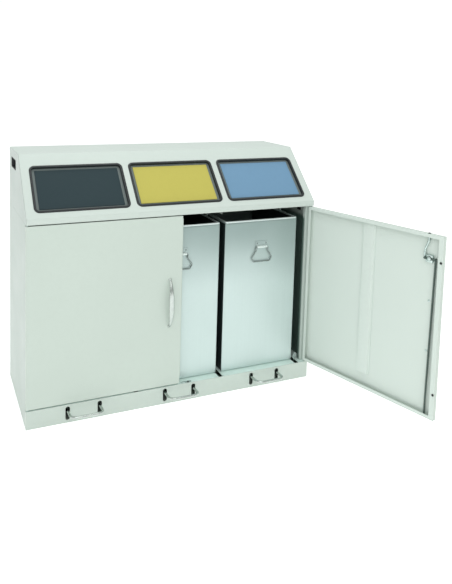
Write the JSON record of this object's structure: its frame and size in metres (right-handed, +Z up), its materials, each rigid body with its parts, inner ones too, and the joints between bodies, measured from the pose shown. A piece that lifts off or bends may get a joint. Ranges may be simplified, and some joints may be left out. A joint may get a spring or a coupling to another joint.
{
  "type": "recycling bin station",
  "caption": "Sheet-steel recycling station: sloped hood with pedal-opened drop-in flaps, a double door with a rod lock, and galvanised inner bins that slide out",
  "frame": {"origin": "centre of the cabinet's underside, on the ground", "axes": "+X to the right seen from the front, -Y to the front, +Z up"},
  "size_m": [1.3903, 1.0089, 0.984],
  "materials": {
    "body_paint": "pale grey-green powder coat, satin",
    "grey_paint": "mid-grey powder coat, satin",
    "dark_paint": "dark grey, satin",
    "black_plastic": "black moulded plastic",
    "rubber": "black rubber",
    "galvanised": "galvanised sheet, dull sheen",
    "zinc_steel": "zinc-plated steel",
    "slate_panel": "dark slate, satin",
    "olive_panel": "olive yellow, satin",
    "blue_panel": "steel blue, satin"
  },
  "bodies": {
    "cabinet": {"base_plate": "body_paint", "kick_plate": "body_paint", "left_side_panel": "body_paint", "right_side_panel": "body_paint", "back_panel": "body_paint", "floor_panel": "body_paint", "head_rail": "body_paint", "wall_stop": "rubber", "linkage_eye": "zinc_steel", "hood_shell": "body_paint", "left_hood_cheek": "body_paint", "right_hood_cheek": "body_paint", "left_hood_gusset": "body_paint", "right_hood_gusset": "body_paint", "left_side_grip": "black_plastic", "right_side_grip": "black_plastic", "left_hinge_pin_bottom": "zinc_steel", "left_hinge_pin_top": "zinc_steel", "right_hinge_pin_bottom": "zinc_steel", "right_hinge_pin_top": "zinc_steel", "flap_hinge_rod": "zinc_steel", "flap_frame_1": "black_plastic", "flap_frame_2": "black_plastic", "flap_frame_3": "black_plastic", "bin_1": "galvanised", "bin_2": "galvanised", "bail_bracket_1": "galvanised", "bail_bracket_2": "galvanised", "pedal_shaft": "zinc_steel"},
    "left_door_leaf": {"left_door": "body_paint", "door_stop_strip": "body_paint", "left_door_stiffener": "body_paint", "left_door_handle": "zinc_steel"},
    "right_door_leaf": {"right_door": "body_paint", "right_door_stiffener": "body_paint", "right_door_handle": "zinc_steel", "door_buffer_upper": "rubber", "door_buffer_lower": "rubber", "lock_case": "zinc_steel"},
    "lock_cam": {"lock_cam": "dark_paint"},
    "lock_rod_upper": {"upper_lock_rod": "zinc_steel"},
    "lock_rod_lower": {"lower_lock_rod": "dark_paint"},
    "right_bin": {"bin_3": "galvanised", "bail_bracket_3": "galvanised"},
    "bail_3": {"bail_3": "zinc_steel"},
    "bail_1": {"bail_1": "zinc_steel"},
    "bail_2": {"bail_2": "zinc_steel"},
    "pedal_1": {"pedal_1": "zinc_steel"},
    "push_rod_1": {"push_rod_1": "zinc_steel"},
    "flap_1": {"flap_1": "grey_paint", "flap_panel_1": "slate_panel"},
    "pedal_2": {"pedal_2": "zinc_steel"},
    "push_rod_2": {"push_rod_2": "zinc_steel"},
    "flap_2": {"flap_2": "grey_paint", "flap_panel_2": "olive_panel"},
    "pedal_3": {"pedal_3": "zinc_steel"},
    "push_rod_3": {"push_rod_3": "zinc_steel"},
    "flap_3": {"flap_3": "grey_paint", "flap_panel_3": "blue_panel"}
  },
  "joints": [
    {"name": "right_door_swing", "type": "hinge", "parent": "cabinet", "child": "right_door_leaf", "pos_m": [0.594, -0.216, 0.42], "axis": [0, 0, 1], "range_deg": [-106.9, 8.1]},
    {"name": "left_door_swing", "type": "hinge", "parent": "cabinet", "child": "left_door_leaf", "pos_m": [-0.594, -0.216, 0.42], "axis": [0, 0, -1], "range_deg": [0, 110]},
    {"name": "lock_turn", "type": "hinge", "parent": "right_door_leaf", "child": "lock_cam", "pos_m": [0.74332, -0.73396, 0.66], "axis": [0.9568, 0.2907, 0], "range_deg": [0, 90]},
    {"name": "upper_lock_rod_slide", "type": "slide", "parent": "right_door_leaf", "child": "lock_rod_upper", "axis": [0, 0, 1], "range_m": [0, 0.0215]},
    {"name": "lower_lock_rod_slide", "type": "slide", "parent": "right_door_leaf", "child": "lock_rod_lower", "axis": [0, 0, -1], "range_m": [0, 0.0215]},
    {"name": "right_bin_slide", "type": "slide", "parent": "cabinet", "child": "right_bin", "axis": [0, -1, 0], "range_m": [0, 0.37]},
    {"name": "bail_3_swing", "type": "hinge", "parent": "right_bin", "child": "bail_3", "pos_m": [0.372, -0.192, 0.589], "axis": [-1, 0, 0], "range_deg": [0, 90]},
    {"name": "bail_1_swing", "type": "hinge", "parent": "cabinet", "child": "bail_1", "pos_m": [-0.356, -0.192, 0.589], "axis": [-1, 0, 0], "range_deg": [0, 11]},
    {"name": "bail_2_swing", "type": "hinge", "parent": "cabinet", "child": "bail_2", "pos_m": [0.008, -0.192, 0.589], "axis": [-1, 0, 0], "range_deg": [0, 3]},
    {"name": "pedal_1_press", "type": "hinge", "parent": "cabinet", "child": "pedal_1", "pos_m": [-0.386, -0.121, 0.043], "axis": [1, 0, 0], "range_deg": [0, 12], "stiffness_Nm_per_rad": 14, "springref_deg": -17.19},
    {"name": "push_rod_1_lift", "type": "slide", "parent": "cabinet", "child": "push_rod_1", "axis": [0, 0, 1], "range_m": [0, 0.0195]},
    {"name": "flap_1_open", "type": "hinge", "parent": "cabinet", "child": "flap_1", "pos_m": [-0.3865, -0.04968, 0.93724], "axis": [1, 0, 0], "range_deg": [0, 46]},
    {"name": "pedal_2_press", "type": "hinge", "parent": "cabinet", "child": "pedal_2", "pos_m": [0, -0.121, 0.043], "axis": [1, 0, 0], "range_deg": [0, 12], "stiffness_Nm_per_rad": 14, "springref_deg": -17.19},
    {"name": "push_rod_2_lift", "type": "slide", "parent": "cabinet", "child": "push_rod_2", "axis": [0, 0, 1], "range_m": [0, 0.0195]},
    {"name": "flap_2_open", "type": "hinge", "parent": "cabinet", "child": "flap_2", "pos_m": [0, -0.04968, 0.93724], "axis": [1, 0, 0], "range_deg": [0, 46]},
    {"name": "pedal_3_press", "type": "hinge", "parent": "cabinet", "child": "pedal_3", "pos_m": [0.386, -0.121, 0.043], "axis": [1, 0, 0], "range_deg": [0, 12], "stiffness_Nm_per_rad": 14, "springref_deg": -17.19},
    {"name": "push_rod_3_lift", "type": "slide", "parent": "cabinet", "child": "push_rod_3", "axis": [0, 0, 1], "range_m": [0, 0.0195]},
    {"name": "flap_3_open", "type": "hinge", "parent": "cabinet", "child": "flap_3", "pos_m": [0.3865, -0.04968, 0.93724], "axis": [1, 0, 0], "range_deg": [0, 46]}
  ],
  "couplings": [
    {"joint": "upper_lock_rod_slide", "follows": "lower_lock_rod_slide", "ratio": 1},
    {"joint": "lock_turn", "follows": "lower_lock_rod_slide", "rad_per_m": 73},
    {"joint": "push_rod_1_lift", "follows": "pedal_1_press", "m_per_rad": 0.0916},
    {"joint": "flap_1_open", "follows": "pedal_1_press", "ratio": 3.767},
    {"joint": "push_rod_2_lift", "follows": "pedal_2_press", "m_per_rad": 0.0916},
    {"joint": "flap_2_open", "follows": "pedal_2_press", "ratio": 3.767},
    {"joint": "push_rod_3_lift", "follows": "pedal_3_press", "m_per_rad": 0.0916},
    {"joint": "flap_3_open", "follows": "pedal_3_press", "ratio": 3.767}
  ]
}
